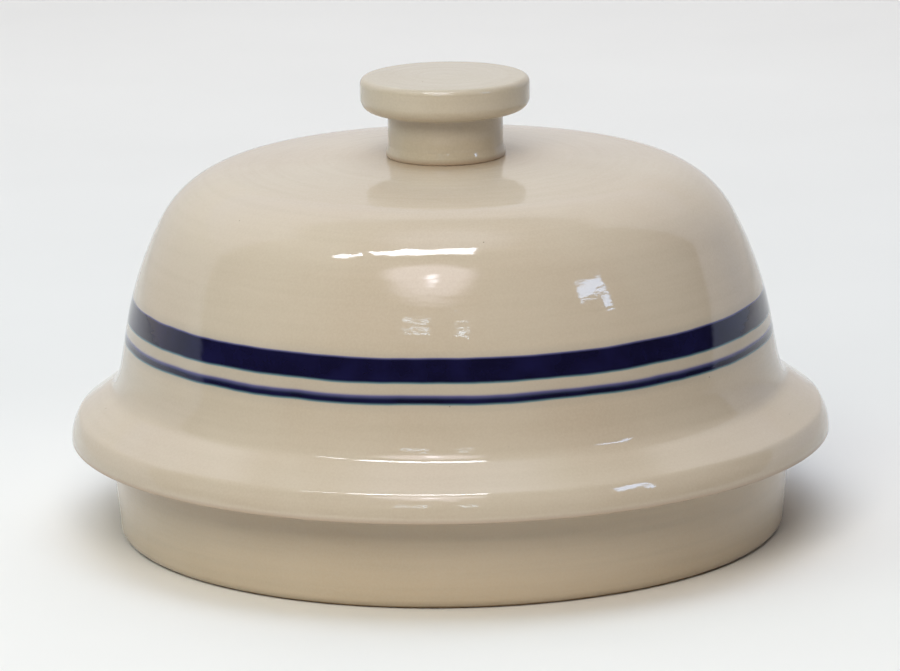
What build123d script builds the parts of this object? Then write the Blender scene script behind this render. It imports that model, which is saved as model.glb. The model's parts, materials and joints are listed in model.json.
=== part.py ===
from build123d import *
from math import radians, tan
import os

# Stoneware bread cloche: a shallow baking dish under a bell-shaped lid with a flat round knob.
# Millimetres, +Z up. The origin is the centre of the foot, on the surface that the dish stands on.
# Every piece is one section drawn in radius and height and turned about +Z, as it is on the wheel.

# Dish
rim_radius = 143.0        # outside of the wall, at the rim
rim_height = 40.2         # standing surface to the flat land that carries the lid
dish_taper = 3.5          # the wall draws in by this much from rim to foot
dish_wall = 7.0
dish_floor = 8.0
dish_corner_round = 12.0  # inside, where the wall meets the floor
foot_width = 12.0         # ring that stands on the table, with its outer round
foot_round = 4.3
foot_recess = 1.5         # hollow trimmed inside the foot ring
foot_recess_round = 0.6
rim_outer_round = 1.2
rim_inner_round = 1.5

# Lid, with its heights measured up from the rim
lid_wall = 8.0
crown_height = 116.6
bell_inset = 5.0          # the waist stands this far inside the outside of the dish
crown_round = 495.0
shoulder_round = 41.5
side_round = 155.0
waist_round = 40.0        # hollow curve where the bell runs out towards the flange
# Corners of the bell's outline from crown to waist, as shares of its radius and of its height
bell_radius_shares = (0.412, 0.799, 0.953, 1.0)
bell_height_shares = (1.0, 0.941, 0.581, 0.246)

# Flange round the foot of the lid, which slopes out from a throat and turns down into a bead
flange_overhang = 16.0    # beyond the outside of the dish rim
throat_inset = 2.0        # the throat lies this far inside the outside of the dish rim
throat_height = 21.6
throat_round = 8.0
bead_inset = 3.2          # the top of the bead stands this far inside its belly
bead_height = 11.1
bead_round = 6.0
belly_height = 4.6        # lower end of the bead's slope, where the flange is widest
belly_round = 30.0
lip_round = 0.8           # lower edge, where the glaze breaks thin

# Locating ring under the flange, which drops into the dish and centres the lid
ring_depth = 8.0
ring_clearance = 1.2
ring_root_round = 0.8
ring_edge_round = 1.2

# Knob, thrown apart and luted on the crown
knob_radius = 35.3
knob_thickness = 14.4
knob_top_rise = 0.4       # the top is slightly domed
knob_top_round = 2.8
knob_under_round = 5.2
stem_radius = 24.0
stem_height = 19.4
stem_top_round = 1.5
stem_foot_height = 5.0    # clay pressed out round the joint, from here down
stem_foot_spread = 0.9
stem_foot_round = 2.0


def outline_legs(corners):
    """The straight legs between the corners of an outline, each as a vector."""
    points = [Vector(*corner) for corner in corners]
    return [after - before for before, after in zip(points, points[1:])]


def fitted_rounds(corners, rounds):
    """The radius of each inner corner, cut back where its arc would run into its neighbour's."""
    legs = outline_legs(corners)
    half_turns = [radians(a.get_angle(b)) / 2 for a, b in zip(legs, legs[1:])]
    reaches = [0, *(radius * tan(half) for radius, half in zip(rounds, half_turns)), 0]
    room = [min(1, leg.length / (a + b)) for leg, a, b in zip(legs, reaches, reaches[1:])]
    fit_share = 0.999
    return [fit_share * radius * min(a, b) for radius, a, b in zip(rounds, room, room[1:])]


def inset(corners, wall):
    """The corners of the outline that runs parallel to this one, a wall's thickness to its right."""
    sides = [Vector(leg.Y, -leg.X).normalized() for leg in outline_legs(corners)]
    pairs = zip(corners, [sides[0], *sides], [*sides, sides[-1]])
    return [tuple(Vector(*corner) + (a + b) * (wall / (1 + a.dot(b))))[:2] for corner, a, b in pairs]


def turned(corners, rounds):
    """The solid of a section that starts and ends on the axis, with its inner corners rounded."""
    outline = FilletPolyline(*corners, radius=fitted_rounds(corners, rounds))
    section = make_face(outline + Line(corners[-1], corners[0]))
    return revolve(Plane.XZ * section, Axis.Z)


def dish_inside_radius(height):
    """Radius of the tapered inner wall of the dish at a height above the standing surface."""
    return rim_radius - dish_wall - dish_taper * (rim_height - height) / rim_height


def make_base_dish():
    """Flat-floored dish on a trimmed foot ring, with a level land on its rim."""
    foot_radius = rim_radius - dish_taper
    floor_top = foot_recess + dish_floor
    corners = [
        (0, foot_recess),
        (foot_radius - foot_width, foot_recess),
        (foot_radius - foot_width, 0),
        (foot_radius, 0),
        (rim_radius, rim_height),
        (rim_radius - dish_wall, rim_height),
        (dish_inside_radius(floor_top), floor_top),
        (0, floor_top),
    ]
    foot_rounds = [foot_recess_round, foot_recess_round, foot_round]
    return turned(corners, [*foot_rounds, rim_outer_round, rim_inner_round, dish_corner_round])


def make_dome_lid():
    """Bell with a parallel wall, a beaded flange that rests on the rim, and a ring that centres it."""
    bell_radius = rim_radius - bell_inset
    flange_radius = rim_radius + flange_overhang
    ring_radius = dish_inside_radius(rim_height - ring_depth) - ring_clearance
    shares = zip(bell_radius_shares, bell_height_shares)
    bell = [(bell_radius * across, crown_height * up) for across, up in shares]
    flange = [(rim_radius - throat_inset, throat_height), (flange_radius - bead_inset, bead_height)]
    flange += [(flange_radius, belly_height), (flange_radius, 0)]
    inside = inset([(0, crown_height), *bell, (bell_radius, -ring_depth)], lid_wall)
    inside.reverse()
    corners = [(0, crown_height), *bell, *flange, (ring_radius, 0), (ring_radius, -ring_depth), *inside]
    outside_rounds = [crown_round, shoulder_round, side_round, waist_round]
    flange_rounds = [throat_round, bead_round, belly_round, lip_round, ring_root_round]
    ring_rounds = [ring_edge_round, ring_edge_round]
    inside_rounds = [side_round, side_round - lid_wall, shoulder_round - lid_wall, crown_round - lid_wall]
    rounds = outside_rounds + flange_rounds + ring_rounds + inside_rounds
    return Pos(0, 0, rim_height) * turned(corners, rounds)


def make_lid_knob():
    """Thick round disc on a stem whose foot is pressed out where it is luted to the crown."""
    knob_height = stem_height + knob_thickness
    foot_radius = stem_radius + stem_foot_spread
    corners = [
        (0, knob_height),
        (knob_radius, knob_height - knob_top_rise),
        (knob_radius, stem_height),
        (stem_radius, stem_height),
        (stem_radius, stem_foot_height),
        (foot_radius, stem_foot_height / 2),
        (foot_radius, 0),
        (0, 0),
    ]
    foot_rounds = [stem_foot_round, stem_foot_round, lip_round]
    rounds = [knob_top_round, knob_under_round, stem_top_round, *foot_rounds]
    return Pos(0, 0, rim_height + crown_height) * turned(corners, rounds)


pieces = {
    "base_dish": make_base_dish(),
    "dome_lid": make_dome_lid(),
    "lid_knob": make_lid_knob(),
}

os.makedirs("parts", exist_ok=True)
for name, solid in pieces.items():
    export_step(solid, f"parts/{name}.step")
    size = solid.bounding_box().size
    print(f"{name}: {size.X:.1f} x {size.Y:.1f} x {size.Z:.1f} mm, {solid.volume / 1000:.0f} cm3")
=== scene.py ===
# %% [markdown]
# A stoneware bread cloche: a shallow baking dish under a bell-shaped lid with a flat round knob.
# It is thrown on a wheel, so every piece is round about one upright axis. It is dipped in a cream
# glaze, and two cobalt bands are brushed round the bell. The solids from the CAD model give the
# sizes and the fit. Here each one gets a finer skin, a real glaze and a studio to stand in.

# %% Load the frame
import json
from math import asin, degrees, pi, radians, cos, sin

import bpy
import numpy as np
from mathutils import Matrix, Vector


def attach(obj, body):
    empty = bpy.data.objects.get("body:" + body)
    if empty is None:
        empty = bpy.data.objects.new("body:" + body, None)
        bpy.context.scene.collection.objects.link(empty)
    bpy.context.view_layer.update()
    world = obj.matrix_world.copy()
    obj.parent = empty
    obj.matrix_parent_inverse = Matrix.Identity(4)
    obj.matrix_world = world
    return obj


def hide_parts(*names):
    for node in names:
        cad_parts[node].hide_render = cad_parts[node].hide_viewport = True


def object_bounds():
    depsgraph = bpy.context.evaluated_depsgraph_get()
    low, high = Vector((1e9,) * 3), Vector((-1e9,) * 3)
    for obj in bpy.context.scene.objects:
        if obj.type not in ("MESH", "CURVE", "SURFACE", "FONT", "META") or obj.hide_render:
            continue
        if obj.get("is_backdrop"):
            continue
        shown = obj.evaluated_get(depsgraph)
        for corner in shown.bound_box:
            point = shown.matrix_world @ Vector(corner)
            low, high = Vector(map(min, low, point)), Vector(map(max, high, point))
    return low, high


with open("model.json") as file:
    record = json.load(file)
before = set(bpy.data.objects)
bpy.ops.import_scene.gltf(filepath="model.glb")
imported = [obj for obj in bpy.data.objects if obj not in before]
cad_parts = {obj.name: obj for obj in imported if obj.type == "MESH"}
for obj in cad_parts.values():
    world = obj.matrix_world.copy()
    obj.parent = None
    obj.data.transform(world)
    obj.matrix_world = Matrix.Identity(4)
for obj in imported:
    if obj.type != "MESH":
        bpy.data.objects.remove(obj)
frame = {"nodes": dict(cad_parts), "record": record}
cad_box = [list(corner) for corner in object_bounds()]
millimetre = 0.001
print("CAD box in mm:", [[round(value / millimetre, 1) for value in corner] for corner in cad_box])

# %% [markdown]
# A potter thinks of a thrown form as one outline that the wheel turns. The outline is a few corners,
# each rounded by a finger, so it is written here as corners in radius and height, with a round at each.
# It could be drawn as a Bezier curve too, but corners and rounds are sizes that a potter can measure.
# Points are spread along it closely enough for a mirror-like glaze, in which flat facets would show.

# %% Rounded outlines
point_gap = 1.8
round_turn = radians(9)
round_fit_share = 0.999


def rounded(corners, rounds):
    """The outline with its inner corners rounded, as points about point_gap apart.

    A round of radius r at a corner that turns by an angle t starts and ends r tan(t / 2) from it.
    Where two rounds would run into each other, both are cut back to fit on the leg between them.
    On the arc, the direction from its centre turns evenly from one tangent point to the other.
    """
    corners = np.array(corners, float)
    legs = np.diff(corners, axis=0)
    lengths = np.hypot(*legs.T)
    ways = legs / lengths[:, None]
    turns = np.arccos((ways[:-1] * ways[1:]).sum(axis=1))
    reaches = np.concatenate([[0], np.array(rounds) * np.tan(turns / 2), [0]])
    room = np.minimum(1, lengths / (reaches[:-1] + reaches[1:]))
    radii = round_fit_share * np.array(rounds) * np.minimum(room[:-1], room[1:])
    cuts = (radii * np.tan(turns / 2))[:, None]
    starts, ends = corners[1:-1] - ways[:-1] * cuts, corners[1:-1] + ways[1:] * cuts
    bends = np.sign(ways[:-1, 0] * ways[1:, 1] - ways[:-1, 1] * ways[1:, 0]) * radii
    centres = starts + np.stack([-ways[:-1, 1], ways[:-1, 0]], axis=1) * bends[:, None]
    points = [corners[:1]]
    for start, end, centre, turn, radius in zip(starts, ends, centres, turns, radii):
        points.append(straight(points[-1][-1], start))
        steps = max(2, int(np.ceil(max(turn / round_turn, radius * turn / point_gap))))
        part = np.linspace(0, 1, steps + 1)[1:, None]
        spokes = np.sin((1 - part) * turn) * (start - centre) + np.sin(part * turn) * (end - centre)
        points.append(centre + spokes / sin(turn))
    points.append(straight(points[-1][-1], corners[-1]))
    return np.vstack(points)


def straight(start, end):
    """Evenly spaced points from start to end, at start + (end - start) k / steps, without the start."""
    steps = max(1, int(np.ceil(np.hypot(*(end - start)) / point_gap)))
    return start + (end - start) * np.linspace(0, 1, steps + 1)[1:, None]


def inset(corners, wall):
    """The corners of a parallel outline, a wall's thickness to the right of the way it runs.

    Each corner moves along the sum of its two sides' normals a and b, by wall / (1 + a . b).
    """
    corners = np.array(corners, float)
    ways = np.diff(corners, axis=0)
    ways /= np.hypot(*ways.T)[:, None]
    sides = np.stack([ways[:, 1], -ways[:, 0]], axis=1)
    before, after = np.vstack([sides[:1], sides]), np.vstack([sides, sides[-1:]])
    return corners + (before + after) * (wall / (1 + (before * after).sum(axis=1)))[:, None]


print("a point every", point_gap, "mm, or every", round(degrees(round_turn)), "degrees of a round")

# %% [markdown]
# The lid is thrown as one piece: a bell that runs down and out into a rolled flange, and under the
# flange a ring that drops into the dish and keeps the lid from sliding. The bell's wall is even, so
# its inside is the same outline set in by the wall. Every outline here runs with the clay on its right.

# %% Lid outline
rim_radius = 143.0
rim_height = 40.2
dish_wall = 7.0
dish_taper = 3.5
lid_wall = 8.0
crown_height = 116.6
bell_inset = 5.0
crown_round = 495.0
shoulder_round = 41.5
side_round = 155.0
waist_round = 40.0
bell_radius_shares = (0.412, 0.799, 0.953, 1.0)
bell_height_shares = (1.0, 0.941, 0.581, 0.246)
flange_overhang = 16.0
throat_inset = 2.0
throat_height = 21.6
throat_round = 8.0
bead_inset = 3.2
bead_height = 11.1
bead_round = 6.0
belly_height = 4.6
belly_round = 30.0
lip_round = 0.8
ring_depth = 8.0
ring_clearance = 1.2
ring_root_round = 0.8
ring_edge_round = 1.2


def dish_inside_radius(height):
    """Radius of the tapered inner wall of the dish at a height above the table."""
    return rim_radius - dish_wall - dish_taper * (rim_height - height) / rim_height


def lid_outline():
    """The lid's section: crown, shoulder, side, waist, flange and ring, then back up the inside."""
    bell_radius = rim_radius - bell_inset
    flange_radius = rim_radius + flange_overhang
    ring_radius = dish_inside_radius(rim_height - ring_depth) - ring_clearance
    shares = zip(bell_radius_shares, bell_height_shares)
    bell = [(bell_radius * across, crown_height * up) for across, up in shares]
    flange = [(rim_radius - throat_inset, throat_height), (flange_radius - bead_inset, bead_height)]
    flange += [(flange_radius, belly_height), (flange_radius, 0)]
    inside = inset([(0, crown_height), *bell, (bell_radius, -ring_depth)], lid_wall)[::-1]
    ring = [(ring_radius, 0), (ring_radius, -ring_depth)]
    rounds = [crown_round, shoulder_round, side_round, waist_round, throat_round, bead_round]
    rounds += [belly_round, lip_round, ring_root_round, ring_edge_round, ring_edge_round]
    rounds += [side_round, side_round - lid_wall, shoulder_round - lid_wall, crown_round - lid_wall]
    return rounded([(0, crown_height), *bell, *flange, *ring, *inside], rounds) + [0, rim_height]


lid_section = lid_outline()
print("lid outline:", len(lid_section), "points, widest radius", lid_section[:, 0].max().round(2), "mm")

# %% [markdown]
# The dish is a flat floor and a low wall on a trimmed foot ring. Its rim has a level land, on which
# the flange of the lid rests. The knob is thrown apart, as a thick disc on a stem, and luted on the
# crown with slip, which leaves a little roll of pressed-out clay round the joint.

# %% Dish and knob outlines
dish_floor = 8.0
dish_corner_round = 12.0
foot_width = 12.0
foot_round = 4.3
foot_recess = 1.5
foot_recess_round = 0.6
rim_outer_round = 1.2
rim_inner_round = 1.5
knob_radius = 35.3
knob_thickness = 14.4
knob_top_rise = 0.4
knob_top_round = 2.8
knob_under_round = 5.2
stem_radius = 24.0
stem_height = 19.4
stem_top_round = 1.5
stem_foot_height = 5.0
stem_foot_spread = 0.9
stem_foot_round = 2.0


def dish_outline():
    """The dish's section: floor, inner wall, rim, outer wall, foot ring and the hollow inside it."""
    foot_radius = rim_radius - dish_taper
    floor_top = foot_recess + dish_floor
    corners = [(0, floor_top), (dish_inside_radius(floor_top), floor_top)]
    corners += [(rim_radius - dish_wall, rim_height), (rim_radius, rim_height), (foot_radius, 0)]
    corners += [(foot_radius - foot_width, 0), (foot_radius - foot_width, foot_recess), (0, foot_recess)]
    rounds = [dish_corner_round, rim_inner_round, rim_outer_round, foot_round]
    return rounded(corners, rounds + [foot_recess_round, foot_recess_round])


def knob_outline():
    """The knob's section: top, edge and underside of the disc, then the stem and its pressed foot."""
    knob_height = stem_height + knob_thickness
    foot_radius = stem_radius + stem_foot_spread
    corners = [(0, knob_height), (knob_radius, knob_height - knob_top_rise), (knob_radius, stem_height)]
    corners += [(stem_radius, stem_height), (stem_radius, stem_foot_height)]
    corners += [(foot_radius, stem_foot_height / 2), (foot_radius, 0), (0, 0)]
    rounds = [knob_top_round, knob_under_round, stem_top_round, stem_foot_round, stem_foot_round]
    return rounded(corners, rounds + [lip_round]) + [0, rim_height + crown_height]


dish_section, knob_section = dish_outline(), knob_outline()
print("dish outline:", len(dish_section), "points; knob outline:", len(knob_section), "points")

# %% [markdown]
# The skins have to lie on the CAD solids, or the lid would no longer fit its dish. The CAD mesh is
# made of points that lie on the true surface. Each one has a radius and a height, so its distance to
# the nearest leg of the outline says how far the skin strays from the solid there.

# %% Compare the outlines with the solids


def furthest_stray(node, outline):
    """The largest distance, in mm, from the CAD node's points to the outline that it is turned from."""
    mesh = frame["nodes"][node].data
    points = np.empty(len(mesh.vertices) * 3)
    mesh.vertices.foreach_get("co", points)
    x, y, z = points.reshape(-1, 3).T / millimetre
    places = np.unique(np.stack([np.hypot(x, y), z], axis=1).round(2), axis=0)
    starts, legs = outline[:-1], np.diff(outline, axis=0)
    offsets = places[:, None] - starts
    part = np.clip((offsets * legs).sum(axis=2) / (legs**2).sum(axis=1), 0, 1)
    return np.linalg.norm(offsets - part[..., None] * legs, axis=2).min(axis=1).max()


sections = {"base_dish": dish_section, "dome_lid": lid_section, "lid_knob": knob_section}
for node, section in sections.items():
    print(f"{node} strays {furthest_stray(node, section):.3f} mm from its solid")

# %% [markdown]
# A thrown wall is never perfectly true. The fingers climb a little at each turn of the wheel, so they
# leave a faint spiral, and the wall swells and sinks by a few hundredths of a millimetre in between.
# The eye can't see that as shape, but it sees the edges of every reflection waver. The relief is cut
# into the wall and never stands out, and it fades out where pieces rest on each other.

# %% Throwing marks
turn_pitch = 7.5
turn_depth = 0.012
swell_depth = 0.07
swell_lengths = (23.0, 41.0, 67.0)
swell_range = 4
fewest_waves, most_waves = 1, 3
fade_length = 6.0
hand_seed = 5
hand = np.random.default_rng(hand_seed)


def arc_lengths(outline):
    """Distance along the outline, in mm, from its first point to each point."""
    return np.concatenate([[0], np.cumsum(np.hypot(*np.diff(outline, axis=0).T))])


def throwing_relief(outline, angles, seats):
    """How deep the surface lies under the outline, in mm, for each outline point and angle.

    The spiral is a cosine of (distance along the outline / pitch) turns less one turn per turn of the
    wheel. Each swell is a cosine along the outline times 1 plus a cosine of 1 to 3 whole waves round
    the axis. That runs from -2 to 2, so it is divided by swell_range. Longer swells are deeper. The sum
    is sunk so that it never rises above zero, and faded out near the seats.
    """
    along = arc_lengths(outline)[:, None]
    relief = turn_depth / 2 * np.cos(2 * pi * along / turn_pitch - angles)
    for length in swell_lengths:
        waves, phases = hand.integers(fewest_waves, most_waves + 1), hand.uniform(0, 2 * pi, 2)
        swell = np.cos(2 * pi * along / length + phases[0]) * (1 + np.cos(waves * angles + phases[1]))
        relief = relief + swell_depth * length / sum(swell_lengths) / swell_range * swell
    fade = np.ones(len(outline))
    for height in seats:
        fade *= np.clip(np.abs(outline[:, 1] - height) / fade_length, 0, 1) ** 2
    return (relief - relief.max()) * fade[:, None]


print("a spiral", turn_depth, "mm deep on swells that are together", swell_depth, "mm deep")

# %% [markdown]
# Glaze is thick and runny in the fire. It creeps off sharp edges, so that the clay shows through it
# there, and it gathers in hollows. How sharply the outline turns, and which way, tells the two apart,
# so both are worked out once for each outline point and not painted by hand.

# %% Glaze flow
edge_reach = 1.2
edge_turn_per_mm = radians(36)
gentle_turn_share = 0.5


def glaze_flow(outline):
    """Turn of the outline per mm, averaged over edge_reach either way, as a share of edge_turn_per_mm:
    below 0 on edges and above 0 in hollows. What is under gentle_turn_share counts as no turn, and the
    rest is stretched to start from 0."""
    along = arc_lengths(outline)
    ways = np.diff(outline, axis=0)
    headings = np.unwrap(np.arctan2(ways[:, 1], ways[:, 0]))
    middles = (along[:-1] + along[1:]) / 2
    ahead = np.interp(along + edge_reach, middles, headings)
    behind = np.interp(along - edge_reach, middles, headings)
    turn = (ahead - behind) / (2 * edge_reach) / edge_turn_per_mm
    return np.sign(turn) * np.clip(np.abs(turn) - gentle_turn_share, 0, None) / (1 - gentle_turn_share)


for node, section in sections.items():
    flow = glaze_flow(section)
    print(f"{node}: glaze creeps off {(flow < 0).sum()} points and gathers at {(flow > 0).sum()}")

# %% [markdown]
# The skin is a grid: one way runs along the outline, and the other runs round the axis. Blender's
# Screw modifier could turn an outline too, but here every point has its own relief and its own facts
# for the glaze, so the grid is worked out as arrays. Its faces come from the numbers of its points.

# %% Grid round an axis
columns = 240


def grid_corners():
    """The four corners of every quad of a grid, as slices, in the order that the quads use."""
    low, high = slice(None, -1), slice(1, None)
    return [(low, low), (high, low), (high, high), (low, high)]


def wrapped_grid(row_count, column_count):
    """Point numbers of a grid round an axis, row times column_count plus column, and its quads.

    The first column is there again as the last one, so that the quads close the round.
    """
    row, column = np.meshgrid(np.arange(row_count), np.arange(column_count + 1), indexing="ij")
    number = row * column_count + column % column_count
    return number, np.stack([number[a, b] for a, b in grid_corners()], axis=2).reshape(-1, 4)


print("columns are", round(2 * pi * rim_radius / columns, 2), "mm apart at the rim of the dish")

# %% [markdown]
# The glaze can be baked to a flat picture, so each corner of a face needs a place on it. Blender could
# unwrap the skin and cut it where it likes. A turned form unrolls to a rectangle by itself, with the turn
# of the wheel across it and the outline up it, so its seam is one straight line.

# %% Places on the flat picture


def wrapped_uv(outline):
    """Where the corners of the quads, then of both end fans, lie on the flat picture of the glaze.

    u is the turn round the axis and v the share of the way along the outline, both from 0 to 1. Each
    end of the outline has its corner midway between the two columns of its triangle.
    """
    share = arc_lengths(outline) / arc_lengths(outline)[-1]
    u, v = np.broadcast_arrays(np.arange(columns + 1) / columns, share[1:-1, None])
    quads = np.stack([np.stack([u[a, b], v[a, b]], axis=-1) for a, b in grid_corners()], axis=2)
    middle = (u[0, :-1] + u[0, 1:]) / 2
    top = np.stack([[middle, 0 * middle], [u[0, :-1], v[0, :-1]], [u[0, 1:], v[0, 1:]]])
    bottom = np.stack([[u[-1, :-1], v[-1, :-1]], [middle, 0 * middle + 1], [u[-1, 1:], v[-1, 1:]]])
    fans = [fan.transpose(2, 0, 1).reshape(-1, 2) for fan in (top, bottom)]
    return np.vstack([quads.reshape(-1, 2), *fans]).ravel()


print("the picture of the knob has", len(wrapped_uv(knob_section)) // 2, "corners")

# %% [markdown]
# Both ends of an outline lie on the axis, so each end row shrinks to one point and closes the surface.
# The skin also carries what the glaze did, as numbers that the material reads: how far along the
# outline a point is, where glaze ran thin over an edge or gathered in a hollow, and where it was wiped.

# %% Turned skins


def outward(outline):
    """Unit normals (-b, a) of an outline that runs in the direction (a, b), away from its clay."""
    ways = np.gradient(outline, axis=0)
    ways /= np.hypot(*ways.T)[:, None]
    return np.stack([-ways[:, 1], ways[:, 0]], axis=1)


def turned_skin(name, outline, seats, marks):
    """A closed surface of revolution. Point (i, j) lies at angle a = 2 pi j / columns, at
    (r cos a, r sin a, z), where (r, z) is outline point i moved along its normal by the relief."""
    angles = 2 * pi * np.arange(columns) / columns
    relief = throwing_relief(outline, angles, seats)
    grid = outline[:, None] + outward(outline)[:, None] * relief[..., None]
    r, z = grid[1:-1, :, 0], grid[1:-1, :, 1]
    ring_points = np.stack([r * np.cos(angles), r * np.sin(angles), z], axis=2).reshape(-1, 3)
    poles = [[0, 0, outline[0, 1]], [0, 0, outline[-1, 1]]]
    points = np.vstack([ring_points, poles]) * millimetre

    number, quads = wrapped_grid(len(outline) - 2, columns)
    first, last = np.full(columns, len(ring_points)), np.full(columns, len(ring_points) + 1)
    top = np.stack([first, number[0, :-1], number[0, 1:]], axis=1)
    bottom = np.stack([number[-1, :-1], last, number[-1, 1:]], axis=1)
    mesh = bpy.data.meshes.new(name)
    mesh.from_pydata(points, [], [*quads.tolist(), *top.tolist(), *bottom.tolist()])
    mesh.polygons.foreach_set("use_smooth", np.ones(len(mesh.polygons), bool))
    mesh.uv_layers.new(name="OFBake").data.foreach_set("uv", wrapped_uv(outline))

    flow = glaze_flow(outline)
    facts = {"along": arc_lengths(outline), "thin": np.clip(-flow, 0, 1), "pooled": np.clip(flow, 0, 1)}
    for fact, values in {**facts, **marks}.items():
        spread = np.concatenate([np.repeat(values[1:-1], columns), values[[0, -1]]])
        mesh.attributes.new(fact, "FLOAT", "POINT").data.foreach_set("value", spread.astype(np.float32))

    piece = bpy.data.objects.new(name, mesh)
    bpy.context.scene.collection.objects.link(piece)
    print(f"{name}: {len(points)} points, {2 * len(quads) + 2 * columns} triangles")
    return piece


print("the crown's outline faces", outward(lid_section)[0].round(2), "where it meets the axis")

# %% [markdown]
# The glaze is wiped off where a piece stands on the kiln shelf, or it would stick there: under the
# dish's foot ring, but not in the hollow inside it, and under the lid's locating ring. The bands are
# brushed while the lid turns on the wheel, so each keeps its height all round. They could be thin rings
# of their own or a painted picture. A distance to them, kept at each point, stays sharp at any size.

# %% Make the three pieces
wide_band_heights = (91.2, 100.9)
narrow_band_heights = (83.0, 86.8)
wipe_reach = 3.0
no_band = 1000.0
crown_top = rim_height + crown_height


def wiped(outline, height):
    """1 up to the height that the glaze is wiped off to, falling evenly to 0 over wipe_reach above it."""
    return np.clip(1 - (outline[:, 1] - height) / wipe_reach, 0, 1)


def from_band(outline, heights):
    """Distance above the band's middle, in mm along the outside of the lid, and far away inside it."""
    outside = np.arange(len(outline)) <= outline[:, 0].argmax()
    along = arc_lengths(outline)
    bottom, top = (np.interp(-height, -outline[outside, 1], along[outside]) for height in heights)
    return np.where(outside, (bottom + top) / 2 - along, no_band)


bands = {"wide_band": wide_band_heights, "narrow_band": narrow_band_heights}
lid_marks = {band: from_band(lid_section, heights) for band, heights in bands.items()}
lid_marks["wiped"] = wiped(lid_section, rim_height - ring_depth)
inside_foot = dish_section[:, 0] <= rim_radius - dish_taper - foot_width
dish_marks = {"wiped": np.where(inside_foot, 0, wiped(dish_section, 0))}
glazed_dish = turned_skin("glazed_dish", dish_section, (0, rim_height), dish_marks)
glazed_lid = turned_skin("glazed_lid", lid_section, (rim_height, crown_top), lid_marks)
glazed_knob = turned_skin("glazed_knob", knob_section, (crown_top,), {})

# %% [markdown]
# Each skin stands for its CAD solid and rides on the same body, so the lid and its knob lift together.
# The record says which solid is in which body, so that is read from it and not written here again.

# %% Ride on the bodies
skins = {"base_dish": glazed_dish, "dome_lid": glazed_lid, "lid_knob": glazed_knob}
for body, nodes in frame["record"]["behaviour"]["bodies"].items():
    for node in nodes:
        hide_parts(node)
        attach(skins[node], body)
        print(f"{skins[node].name} stands for {node} and rides on {body}")

# %% [markdown]
# A material is a small network: patterns give numbers, and the numbers mix colours. One function
# adds a node, sets it up and joins what flows into it. Colours are written as a painter's hex values,
# which are in sRGB, and turned to the linear values that light adds up in. A finish is built up as it
# is on the pot: a first colour, and others laid over it, each where its own pattern lets it show.

# %% Node and colour helpers
soft_ends = {"interpolation_type": "SMOOTHSTEP"}
# The sockets of a Mix node that mixes colours share their names, so they go by their numbers
mix_share, mix_below, mix_over, mix_result = 0, 6, 7, 2


def linear(hex_colour):
    """sRGB hex to linear red, green, blue and alpha.

    A level c from 0 to 1 becomes ((c + 0.055) / 1.055) ** 2.4 above 0.04045, and c / 12.92 below it.
    """
    levels = np.array([int(hex_colour[k : k + 2], 16) for k in (1, 3, 5)]) / 255
    bright = ((levels + 0.055) / 1.055) ** 2.4
    return (*np.where(levels > 0.04045, bright, levels / 12.92), 1.0)


def add(tree, kind, inputs=None, **settings):
    """Adds one node. inputs maps a socket's name or number to a value or to another node's output."""
    node = tree.nodes.new(kind)
    for setting, value in settings.items():
        setattr(node, setting, value)
    for socket, value in (inputs or {}).items():
        if isinstance(value, bpy.types.NodeSocket):
            tree.links.new(value, node.inputs[socket])
        else:
            node.inputs[socket].default_value = value
    return node


def laid_over(tree, colour, layers, ends="SMOOTHSTEP"):
    """The colour with others laid over it in turn. A layer is (pattern, start, full, most, over).

    Its share of the mix is 0 where the pattern is at start and most where it is at full. In between
    it rises with soft ends, as the cubic 3 t t - 2 t t t does, or evenly where ends is "LINEAR".
    """
    for pattern, start, full, most, over in layers:
        limits = {"Value": pattern, "From Min": start, "From Max": full, "To Max": most}
        share = add(tree, "ShaderNodeMapRange", limits, interpolation_type=ends).outputs[0]
        mixture = {mix_share: share, mix_below: colour, mix_over: over}
        colour = add(tree, "ShaderNodeMix", mixture, data_type="RGBA").outputs[mix_result]
    return colour


def new_material(name):
    """An empty material, and its node tree."""
    material = bpy.data.materials.new(name)
    material.use_nodes = True
    material.node_tree.nodes.clear()
    return material, material.node_tree


print("a half bright sRGB level, #808080, is", linear("#808080")[0].round(3), "in linear light")

# %% [markdown]
# The glaze is a cream dolomite glaze over a buff stoneware body: opaque, glossy and never one colour.
# Wide soft tones show where the dip ran thinner or thicker, a fine mottle comes from crystals in it,
# and faint darker rings follow the throwing marks. A few specks of iron have burnt through. The real
# mottle is a few tenths of a millimetre wide, which the picture can't show, so it is drawn at 0.9 mm.
# Patterns that lie in space are in metres, and those that follow the outline are in mm, as it is.

# %% Glaze patterns
tone_size = 55 * millimetre
ring_gap = 3.2
ring_drift = 90 * millimetre
mottle_size = 0.9 * millimetre
speck_spacing = 15 * millimetre
speck_radius = 0.45 * millimetre
tone_limits = (0.3, 0.7)
ring_limits = (0.35, 0.75)
ring_share = 0.16
mottle_share = 0.22
speck_share = 0.65
speck_core_share = 0.4
fine_detail = 3.0


def rings_along(tree, place, drift):
    """Noise coordinates that change fast along the outline, by ring_gap, and slowly round it, by drift."""
    along = add(tree, "ShaderNodeAttribute", attribute_name="along").outputs["Fac"]
    slow = add(tree, "ShaderNodeMapping", {"Vector": place, "Scale": (1 / drift,) * 3}).outputs[0]
    slow_x, slow_y, _ = add(tree, "ShaderNodeSeparateXYZ", {"Vector": slow}).outputs
    fast = add(tree, "ShaderNodeMath", {0: along, 1: 1 / ring_gap}, operation="MULTIPLY").outputs[0]
    return add(tree, "ShaderNodeCombineXYZ", {"X": slow_x, "Y": slow_y, "Z": fast}).outputs[0]


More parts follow.
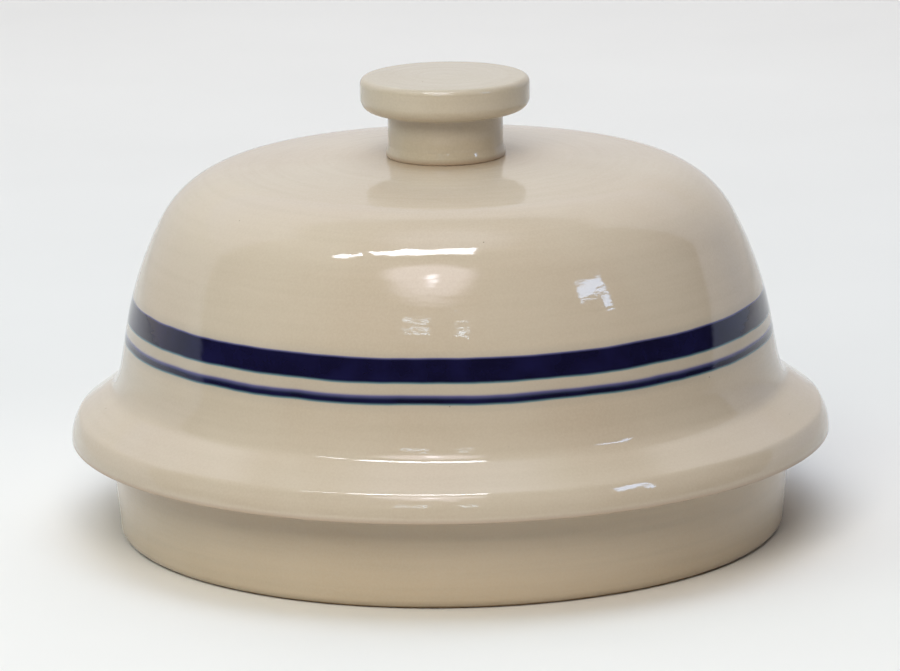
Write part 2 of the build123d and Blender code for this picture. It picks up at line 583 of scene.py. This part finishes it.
def cream_tones(tree, place, creams):
    """The cream's own variation: wide soft tones between two creams, rings, mottle and iron specks."""
    tones = add(tree, "ShaderNodeTexNoise", {"Vector": place, "Scale": 1 / tone_size}).outputs["Fac"]
    turned = {"Vector": rings_along(tree, place, ring_drift), "Scale": 1.0, "Detail": fine_detail}
    rings = add(tree, "ShaderNodeTexNoise", turned).outputs["Fac"]
    crystals = {"Vector": place, "Scale": 1 / mottle_size, "Detail": fine_detail}
    mottle = add(tree, "ShaderNodeTexNoise", crystals).outputs["Fac"]
    cells = {"Vector": place, "Scale": 1 / speck_spacing}
    speck = add(tree, "ShaderNodeTexVoronoi", cells).outputs["Distance"]
    reach = speck_radius / speck_spacing
    layers = [
        (tones, *tone_limits, 1.0, linear(creams[1])),
        (rings, *ring_limits, ring_share, linear("#b9aa92")),
        (mottle, *tone_limits, mottle_share, linear("#d9cebb")),
        (speck, reach, speck_core_share * reach, speck_share, linear("#5b4633")),
    ]
    return laid_over(tree, linear(creams[0]), layers)


speck_sizes = [round(size / millimetre, 2) for size in (2 * speck_radius, speck_spacing)]
print("specks are up to", speck_sizes[0], "mm wide and about", speck_sizes[1], "mm apart")

# %% [markdown]
# Cobalt oxide is brushed on the raw glaze and sinks into it in the fire. A full brush gives a navy
# that is almost black. At the edges the wash is thin, so it turns violet-blue above, where the brush
# left the wall, and greenish below, where it pooled. The narrow band was drawn with a drier brush, so
# its top fades over a longer way. The edges wander by some tenths of a millimetre, and a faint grey
# haze of cobalt fume lies on the cream beside them.

# %% Cobalt bands
band_wander = 0.5
wander_size = 28 * millimetre
wander_limits = (0.25, 0.75)
upper_feather = 1.8
narrow_upper_feather = 5.4
lower_feather = 2.0
brush_size = 14 * millimetre
brush_limits = (0.3, 0.75)
haze_reach = 4.5
haze_share = 0.16
wash_full_share = 0.45
navy_start_share = 0.2


def above_middle(tree, place, band):
    """Distance above the band's middle, in mm along the outline, with the hand's wander in it."""
    above = add(tree, "ShaderNodeAttribute", attribute_name=band).outputs["Fac"]
    waver = add(tree, "ShaderNodeTexNoise", {"Vector": place, "Scale": 1 / wander_size}).outputs["Fac"]
    swing = {"Value": waver, "From Min": wander_limits[0], "From Max": wander_limits[1]}
    swing.update({"To Min": -band_wander / 2, "To Max": band_wander / 2})
    wander = add(tree, "ShaderNodeMapRange", swing, **soft_ends).outputs[0]
    return add(tree, "ShaderNodeMath", {0: above, 1: wander}, operation="ADD").outputs[0]


def cobalt_cover(tree, above, half, inner_feather):
    """How full the cobalt is, from 0 to 1: the product of a soft rise at the band's top and its foot."""
    top = {"From Min": half + upper_feather / 2, "From Max": half - inner_feather / 2}
    foot = {"From Min": -half - lower_feather / 2, "From Max": -half + lower_feather / 2}
    rises = [
        add(tree, "ShaderNodeMapRange", {"Value": above, **edge}, **soft_ends).outputs[0]
        for edge in (top, foot)
    ]
    return add(tree, "ShaderNodeMath", dict(enumerate(rises)), operation="MULTIPLY").outputs[0]


def banded(tree, place, colour):
    """The cream with both bands on it: navy where the cobalt is full, and washed out at the edges."""
    inner_feathers = {"wide_band": upper_feather, "narrow_band": narrow_upper_feather}
    for band, heights in bands.items():
        half = (heights[1] - heights[0]) / 2
        above = above_middle(tree, place, band)
        away = add(tree, "ShaderNodeMath", {0: above}, operation="ABSOLUTE").outputs[0]
        cobalt = cobalt_cover(tree, above, half, inner_feathers[band])
        strokes = {"Vector": place, "Scale": 1 / brush_size, "Detail": fine_detail}
        brush = add(tree, "ShaderNodeTexNoise", strokes).outputs["Fac"]
        navy = laid_over(tree, linear("#110f2b"), [(brush, *brush_limits, 1.0, linear("#18173d"))])
        wash_top = (above, -half / 2, half / 2, 1.0, linear("#686795"))
        wash = laid_over(tree, linear("#6b8c95"), [wash_top])
        layers = [
            (away, half + haze_reach, half, haze_share, linear("#737879")),
            (cobalt, 0.0, wash_full_share, 1.0, wash),
            (cobalt, navy_start_share, 1.0, 1.0, navy),
        ]
        colour = laid_over(tree, colour, layers)
    return colour


for band, heights in bands.items():
    print(band, "is", round(heights[1] - heights[0], 1), "mm high on the outline, before its feathers")

# %% [markdown]
# A bump map of a few thousandths of a millimetre gives the glaze the orange-peel skin of the real one,
# and ripples along the throwing marks make the ends of its reflections ragged. Real grit and peel
# would take millions of faces, and a bump turns the light as they would. Wiped clay has no glass on
# it, so its grit can be felt.

# %% Surface of glaze and clay
sponge_size = 12 * millimetre
sponge_share = 0.3
bare_limits = (0.7, 0.9)
peel_size = 5 * millimetre
peel_depth = 0.006 * millimetre
ripple_drift = 11 * millimetre
ripple_depth = 0.055 * millimetre
grit_size = 0.5 * millimetre
grit_depth = 0.03 * millimetre
grit_detail = 4.0


def bare_clay(tree, place):
    """1 on wiped clay and 0 on glaze. The sponge left the line between them a little uneven."""
    wiped_off = add(tree, "ShaderNodeAttribute", attribute_name="wiped").outputs["Fac"]
    sponge = add(tree, "ShaderNodeTexNoise", {"Vector": place, "Scale": 1 / sponge_size}).outputs["Fac"]
    waver = add(tree, "ShaderNodeMath", {0: sponge, 1: sponge_share}, operation="MULTIPLY").outputs[0]
    line = add(tree, "ShaderNodeMath", {0: wiped_off, 1: waver}, operation="ADD").outputs[0]
    limits = {"Value": line, "From Min": bare_limits[0], "From Max": bare_limits[1]}
    return add(tree, "ShaderNodeMapRange", limits, **soft_ends).outputs[0]


def glaze_relief(tree, place, bare):
    """The surface's normal: orange peel, then throwing ripples, then grit where the clay is bare."""
    peel = add(tree, "ShaderNodeTexNoise", {"Vector": place, "Scale": 1 / peel_size}).outputs["Fac"]
    combed = {"Vector": rings_along(tree, place, ripple_drift), "Scale": 1.0}
    ripple = add(tree, "ShaderNodeTexNoise", combed).outputs["Fac"]
    grains = {"Vector": place, "Scale": 1 / grit_size, "Detail": grit_detail}
    grain = add(tree, "ShaderNodeTexNoise", grains).outputs["Fac"]
    grit = add(tree, "ShaderNodeMath", {0: bare, 1: grain}, operation="MULTIPLY").outputs[0]
    bumps = {}
    for height, depth in ((peel, peel_depth), (ripple, ripple_depth), (grit, grit_depth)):
        bump = add(tree, "ShaderNodeBump", {"Height": height, "Distance": depth, **bumps})
        bumps = {"Normal": bump.outputs[0]}
    return bumps["Normal"]


depths = [round(depth / millimetre, 3) for depth in (peel_depth, ripple_depth, grit_depth)]
print("peel, ripples and grit are up to", depths, "mm deep")

# %% [markdown]
# The whole glaze comes together here. It is paler where it gathered, and breaks to a pinkish brown
# along sharp edges, where the iron in the clay shows through. Its gloss comes from a smooth surface
# with the refraction of glass, about 1.5, as it does on any glazed pot. Wiped clay is dull and brown.

# %% Cream glazed stoneware
pooled_share = 0.5
thin_share = 0.6
glaze_roughness = 0.05
clay_roughness = 0.85
glass_ior = 1.5


def cream_glaze(name, creams, with_bands=False):
    """Glossy glaze between two creams on buff stoneware, with the cobalt bands on it if with_bands."""
    material, tree = new_material(name)
    place = add(tree, "ShaderNodeTexCoord").outputs["Object"]
    colour = cream_tones(tree, place, creams)
    for fact, most, tint in (("pooled", pooled_share, "#d3c8b5"), ("thin", thin_share, "#b1957e")):
        amount = add(tree, "ShaderNodeAttribute", attribute_name=fact).outputs["Fac"]
        colour = laid_over(tree, colour, [(amount, 0.0, 1.0, most, linear(tint))], ends="LINEAR")
    if with_bands:
        colour = banded(tree, place, colour)
    bare = bare_clay(tree, place)
    colour = laid_over(tree, colour, [(bare, 0.0, 1.0, 1.0, linear("#a98d6c"))], ends="LINEAR")
    dulling = {"Value": bare, "To Min": glaze_roughness, "To Max": clay_roughness}
    roughness = add(tree, "ShaderNodeMapRange", dulling, **soft_ends).outputs[0]
    surface = {"Base Color": colour, "Roughness": roughness, "IOR": glass_ior}
    surface["Normal"] = glaze_relief(tree, place, bare)
    shader = add(tree, "ShaderNodeBsdfPrincipled", surface)
    add(tree, "ShaderNodeOutputMaterial", {"Surface": shader.outputs[0]})
    return material


# The dish wears the same glaze as the lid, but its creams are lighter and warmer: painted light, which
# makes up for light that the dish gets too little of in this studio.
dish_creams_with_painted_light = ("#d3bfa3", "#d7c4aa")
lid_creams = ("#cab9a4", "#cebfab")
knob_creams = ("#c4b7a1", "#cabeab")
glazes = {
    glazed_dish: cream_glaze("cream_glazed_stoneware_dish", dish_creams_with_painted_light),
    glazed_lid: cream_glaze("cream_glazed_stoneware_banded", lid_creams, with_bands=True),
    glazed_knob: cream_glaze("cream_glazed_stoneware_knob", knob_creams),
}
for skin, glaze in glazes.items():
    skin.data.materials.append(glaze)
    print(f"{skin.name} is finished in {glaze.name}, {len(glaze.node_tree.nodes)} nodes")

# %% [markdown]
# The floor is a wide disc of pale matt paper, which fills the camera's view. It ends where the lamps
# no longer light it, because a dark far floor would draw a dark line in the reflections. White paper
# would throw so much light up under the flange that its shadow on the dish fades, so the clay gets
# only a share of it.

# %% Floor
floor_radius = 2.4
floor_rings = 8
floor_columns = 96
bounce_share = 0.72
paper_tone_size = 180 * millimetre
paper_roughness = 0.9
paper_sheen = 0.1


def paper_floor():
    """A flat disc at height 0. Point (i, j) lies at radius floor_radius (i + 1) / floor_rings and angle
    2 pi j / floor_columns, and one more point lies in the middle."""
    rings = np.arange(1, floor_rings + 1) / floor_rings * floor_radius
    angles = 2 * pi * np.arange(floor_columns) / floor_columns
    x, y = rings[:, None] * np.cos(angles), rings[:, None] * np.sin(angles)
    points = np.vstack([np.stack([x, y, 0 * x], axis=2).reshape(-1, 3), [[0, 0, 0]]])
    number, quads = wrapped_grid(floor_rings, floor_columns)
    middle = np.full(floor_columns, len(points) - 1)
    fan = np.stack([middle, number[0, :-1], number[0, 1:]], axis=1)
    mesh = bpy.data.meshes.new("paper_floor")
    mesh.from_pydata(points, [], [*quads.tolist(), *fan.tolist()])
    floor = bpy.data.objects.new("paper_floor", mesh)
    bpy.context.scene.collection.objects.link(floor)
    return floor


def matt_paper():
    """Matt white background paper, with a faint unevenness so that it isn't a flat colour."""
    material, tree = new_material("matt_white_paper")
    place = add(tree, "ShaderNodeTexCoord").outputs["Object"]
    cloud = add(tree, "ShaderNodeTexNoise", {"Vector": place, "Scale": 1 / paper_tone_size}).outputs["Fac"]
    lights_clay = add(tree, "ShaderNodeLightPath").outputs["Is Diffuse Ray"]
    layers = [
        (cloud, 0.0, 1.0, 1.0, linear("#f2efea")),
        (lights_clay, 0.0, 1.0, 1 - bounce_share, linear("#000000")),
    ]
    tone = laid_over(tree, linear("#ece9e4"), layers, ends="LINEAR")
    surface = {"Base Color": tone, "Roughness": paper_roughness, "Specular IOR Level": paper_sheen}
    shader = add(tree, "ShaderNodeBsdfPrincipled", surface)
    add(tree, "ShaderNodeOutputMaterial", {"Surface": shader.outputs[0]})
    return material


floor = paper_floor()
floor.data.materials.append(matt_paper())
floor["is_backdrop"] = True
print("the floor is", 2 * floor_radius, "m across and has", len(floor.data.polygons), "faces")

# %% [markdown]
# The light is a plain studio: a pale backdrop stands round the back and the sides, and the room in
# front is dim. Only reflections tell them apart, as on any glossy pot: the edges of the bell mirror the
# backdrop, the flat of the flange mirrors the bright ceiling, and the front mirrors the room. A photo of
# a studio could light it too. Here every direction's light follows from a few sizes that can be changed.

# %% Backdrop
backdrop_edge_shares = (0.07, 0.24)
backdrop_lean = 0.65
backdrop_lean_share = 0.3
backdrop_top_share = 0.80
backdrop_fold_share = 0.42
edge_softness_share = 0.06
edge_change_share = 0.1
tone_change_share = 0.3
side_shift = 0.13
far_side_shares = (0.6, 0.9)


def backdrop_cover(tree, x, y, z):
    """1 in the directions that the backdrop fills and 0 in the others, with soft edges.

    It fills those whose z is under backdrop_top_share and whose y / length of (x, y) is over its left
    or right edge plus backdrop_lean times z, or times backdrop_lean_share where z is more.
    """
    level = add(tree, "ShaderNodeCombineXYZ", {"X": x, "Y": y}).outputs[0]
    length = add(tree, "ShaderNodeVectorMath", {0: level}, operation="LENGTH").outputs["Value"]
    backward = add(tree, "ShaderNodeMath", {0: y, 1: length}, operation="DIVIDE").outputs[0]
    leaning = add(tree, "ShaderNodeMath", {0: z, 1: backdrop_lean_share}, operation="MINIMUM").outputs[0]
    lean = add(tree, "ShaderNodeMath", {0: leaning, 1: backdrop_lean}, operation="MULTIPLY").outputs[0]
    past_lean = add(tree, "ShaderNodeMath", {0: backward, 1: lean}, operation="SUBTRACT").outputs[0]
    sides = {"Value": x, "From Min": -edge_change_share, "From Max": edge_change_share}
    sides.update({"To Min": backdrop_edge_shares[0], "To Max": backdrop_edge_shares[1]})
    edge = add(tree, "ShaderNodeMapRange", sides, **soft_ends).outputs[0]
    past_edge = add(tree, "ShaderNodeMath", {0: past_lean, 1: edge}, operation="SUBTRACT").outputs[0]
    softness = {"Value": past_edge, "From Max": edge_softness_share}
    behind = add(tree, "ShaderNodeMapRange", softness, **soft_ends).outputs[0]
    top = {"From Min": backdrop_top_share + edge_softness_share, "From Max": backdrop_top_share}
    below = add(tree, "ShaderNodeMapRange", {"Value": z, **top}, **soft_ends).outputs[0]
    return add(tree, "ShaderNodeMath", {0: behind, 1: below}, operation="MULTIPLY").outputs[0]


def backdrop_tones(tree, x, z):
    """The backdrop's colour: bluer over backdrop_fold_share, where its right is lighter than its left,
    and bluer still on its far sides, where x plus side_shift is large either way."""
    right_tone = (x, -tone_change_share, tone_change_share, 1.0, linear("#cac8cd"))
    upper_part = laid_over(tree, linear("#bcbbc8"), [right_tone])
    from_left = add(tree, "ShaderNodeMath", {0: x, 1: side_shift}, operation="ADD").outputs[0]
    sideways = add(tree, "ShaderNodeMath", {0: from_left}, operation="ABSOLUTE").outputs[0]
    layers = [
        (z, backdrop_fold_share, backdrop_fold_share + edge_softness_share, 1.0, upper_part),
        (sideways, *far_side_shares, 1.0, linear("#a8afbd")),
    ]
    return laid_over(tree, linear("#bfbbb9"), layers)


print("the backdrop reaches", round(degrees(asin(backdrop_top_share)), 1), "degrees up")

# %% [markdown]
# The dome puts the backdrop, the dim room and its bright ceiling into one light from all round. The
# room could be built of walls, but a dome needs none, and no wall stands in the way of a lamp. What
# the camera sees past the paper is one pale colour, so that no studio shows behind the cloche.

# %% Studio dome
zenith_share = 0.94
studio_gain = 1.4


def studio_dome():
    """World light by direction (x, y, z), whose z is the sine of its elevation and y points backwards.

    The backdrop stands in a dim room, whose ceiling is bright over zenith_share. The camera sees one
    pale colour in every direction. All of it is studio_gain times as bright as its colours say, so that
    the ceiling can be brighter than white.
    """
    world = bpy.data.worlds.new("studio_dome")
    world.use_nodes = True
    tree = world.node_tree
    tree.nodes.clear()
    way = add(tree, "ShaderNodeTexCoord").outputs["Generated"]
    x, y, z = add(tree, "ShaderNodeSeparateXYZ", {"Vector": way}).outputs
    cover, tones = backdrop_cover(tree, x, y, z), backdrop_tones(tree, x, z)
    light = laid_over(tree, linear("#242322"), [(cover, 0.0, 1.0, 1.0, tones)], ends="LINEAR")
    seen = add(tree, "ShaderNodeLightPath").outputs["Is Camera Ray"]
    layers = [
        (z, zenith_share, 1.0, 1.0, linear("#e4e6fc")),
        (seen, 0.0, 1.0, 1.0, linear("#d0d0cf")),
    ]
    colour = laid_over(tree, light, layers)
    background = add(tree, "ShaderNodeBackground", {"Color": colour, "Strength": studio_gain})
    add(tree, "ShaderNodeOutputWorld", {"Surface": background.outputs[0]})
    return world


bpy.context.scene.world = studio_dome()
print("the ceiling is bright over", round(degrees(asin(zenith_share)), 1), "degrees up")

# %% [markdown]
# Gloss and shading are lit apart. A mirror lamp shows only in reflections, and gives the crisp marks on
# the glaze. A fill lamp shows only in the matt part of the light, and gives the soft shading, so that
# it leaves no mark. One lamp could do both, but then no mark could be set without changing the shading.
# All of them are rectangles or ellipses of real sizes.

# %% Lamp helpers
bell_middle = Vector((0, 0, 0.12))
parametric_middle = 0.5


def seen_towards(azimuth, elevation, distance):
    """The place at a distance from the bell's middle, in a direction of azimuth a and elevation e: that
    distance times (sin a cos e, -cos a cos e, sin e). Azimuth 0 is the front and 90 the right."""
    a, e = radians(azimuth), radians(elevation)
    return Vector((sin(a) * cos(e), -cos(a) * cos(e), sin(e))) * distance + bell_middle


def lamp(name, place, size, colour, radiance, aim=bell_middle, feather=0.0):
    """A lamp of size (width, height) in metres, turned to face aim and hidden from the camera.

    Its power is radiance times pi times width times height. With a feather it is an ellipse, whose
    light falls off over that share of the way in from its rim to its middle.
    """
    data = bpy.data.lights.new(name, "AREA")
    data.shape = "ELLIPSE" if feather else "RECTANGLE"
    data.size, data.size_y = size
    data.color = linear(colour)[:3]
    data.energy = radiance * pi * size[0] * size[1]
    if feather:
        data.use_nodes = True
        tree = data.node_tree
        tree.nodes.clear()
        across = add(tree, "ShaderNodeNewGeometry").outputs["Parametric"]
        centred = {0: across, 1: (parametric_middle, parametric_middle, 0.0)}
        from_middle = add(tree, "ShaderNodeVectorMath", centred, operation="SUBTRACT").outputs[0]
        reach = add(tree, "ShaderNodeVectorMath", {0: from_middle}, operation="LENGTH").outputs["Value"]
        rim = {"From Min": parametric_middle, "From Max": parametric_middle * (1 - feather)}
        fall = add(tree, "ShaderNodeMapRange", {"Value": reach, **rim}, **soft_ends).outputs[0]
        glow = add(tree, "ShaderNodeEmission", {"Strength": fall})
        add(tree, "ShaderNodeOutputLight", {"Surface": glow.outputs[0]})
    placed = bpy.data.objects.new(name, data)
    placed.location = place
    placed.rotation_euler = (Vector(aim) - Vector(place)).to_track_quat("-Z", "Y").to_euler()
    placed.visible_camera = False
    bpy.context.scene.collection.objects.link(placed)
    return placed


def mirror_lamp(*settings, **more):
    """A lamp that only reflections show."""
    lamp(*settings, **more).visible_diffuse = False


def fill_lamp(*settings, **more):
    """A lamp that reflections don't show."""
    lamp(*settings, **more).visible_glossy = False


print("directions of lamps are from a point", round(bell_middle.z, 3), "m over the floor")

# %% [markdown]
# The shoulder and the flange mirror two strips under the ceiling as thin bright lines. Under the line
# on the shoulder is the glow of a soft screen, bright in its middle, then the short marks of thin low
# strips, one row under another. A window on the right leaves a mark of its own.

# %% Mirror lamps
ceiling_height = 2.1
strip_front = -0.66
window_distance = 2.4
window_blue = "#b8d7ff"
window_radiance = 10.5
low_strip_elevations = (27.4, 24.9, 23.4)
low_strip_distance = 2.0
low_strip_height = 0.014

for side, middle, length, depth in (("left", -1.115, 0.39, 0.09), ("right", -0.26, 1.06, 0.27)):
    place, under = (middle, strip_front, ceiling_height), (middle, strip_front, 0)
    name, size = f"ceiling_strip_{side}", (length, depth)
    mirror_lamp(name, place, size, colour="#f3f6ff", radiance=24, aim=under)
place = seen_towards(azimuth=-8, elevation=44, distance=1.6)
mirror_lamp("warm_screen", place, size=(1.06, 0.8), colour="#fbf3ff", radiance=3.4, feather=0.45)
place = seen_towards(azimuth=-7, elevation=41, distance=1.55)
mirror_lamp("screen_middle", place, size=(0.19, 0.24), colour="#f6f5ff", radiance=11, feather=0.8)
place = seen_towards(azimuth=58.5, elevation=29.2, distance=window_distance)
mirror_lamp("side_window", place, size=(0.44, 0.18), colour=window_blue, radiance=window_radiance)
place = seen_towards(azimuth=63, elevation=24.2, distance=window_distance)
mirror_lamp("side_window_corner", place, size=(0.13, 0.17), colour=window_blue, radiance=window_radiance)
for row, elevation in enumerate(low_strip_elevations):
    for side, azimuth, width in (("left", -12, 0.31), ("right", 5, 0.17)):
        name, size = f"low_strip_{side}_{row}", (width, low_strip_height)
        place = seen_towards(azimuth, elevation, low_strip_distance)
        mirror_lamp(name, place, size, colour="#d0e8ff", radiance=15)
strip_places = [seen_towards(0, elevation, low_strip_distance) for elevation in low_strip_elevations]
print("the rows of low strips are", [round(place.z, 2) for place in strip_places], "m up")

# %% [markdown]
# The fills shade the clay: a wide one overhead, a warmer one in front, and a weaker one on the left, so
# that the round sides turn away softly. The sun could do it with one hard light, but a potter's studio
# photograph has soft boxes. The last lamp lights the paper behind the dish, or it would look darker.

# %% Fill lamps
fill_distance = 2.6
overhead_place = (0, 0.3, fill_distance)
overhead_aim = (0, 0.3, 0)
background_place = (0, 0.9, 1.4)
background_aim = (0, 2.6, 0.6)

size = (2.4, 2.4)
fill_lamp("overhead_fill", overhead_place, size, colour="#e2f1ff", radiance=2.02, aim=overhead_aim)
place = seen_towards(azimuth=-9, elevation=40, distance=fill_distance)
fill_lamp("front_fill", place, size=(1.6, 1.2), colour="#fffaf0", radiance=6.72)
place = seen_towards(azimuth=-75, elevation=35, distance=fill_distance)
fill_lamp("left_fill", place, size=(1.4, 1.4), colour="#e9fffd", radiance=1.9)
size = (2.4, 0.5)
lamp("background_lamp", background_place, size, colour="#fff4e8", radiance=2.4, aim=background_aim)

# %% [markdown]
# The camera stands 2.2 m in front and looks down by 13 degrees, through a long lens, so that the rim
# and the foot make almost the same ellipse. It is tipped by about a degree, as in the photograph.

# %% Camera
camera_place = (0.0, -2.2, 0.59186)
camera_pitch = radians(13.11)
camera_yaw = radians(0.011)
camera_roll = radians(-0.962)
sensor_width = 36.0
focal_length = 215.55

camera_data = bpy.data.cameras.new("camera")
camera_data.sensor_width = sensor_width
camera_data.lens = focal_length
camera = bpy.data.objects.new("camera", camera_data)
turn = Matrix.Rotation(-camera_yaw, 4, "Z") @ Matrix.Rotation(pi / 2 - camera_pitch, 4, "X")
camera.matrix_world = Matrix.Translation(camera_place) @ turn @ Matrix.Rotation(camera_roll, 4, "Z")
bpy.context.scene.collection.objects.link(camera)
bpy.context.scene.camera = camera
bpy.context.scene.view_settings.view_transform = "Standard"
print("lens", focal_length, "mm; looks down", round(degrees(camera_pitch), 2), "degrees")

# %% [markdown]
# Last, the size. The skins touch the true surface of the solids and never stand out of it. The CAD
# mesh is faceted, so its box can be some hundredths of a millimetre smaller than theirs.

# %% Sizes and finish
bpy.context.view_layer.update()
visual_box = [list(corner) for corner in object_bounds()]
for label, corners in (("CAD", cad_box), ("skins", visual_box)):
    print(label, [[round(value / millimetre, 2) for value in corner] for corner in corners])
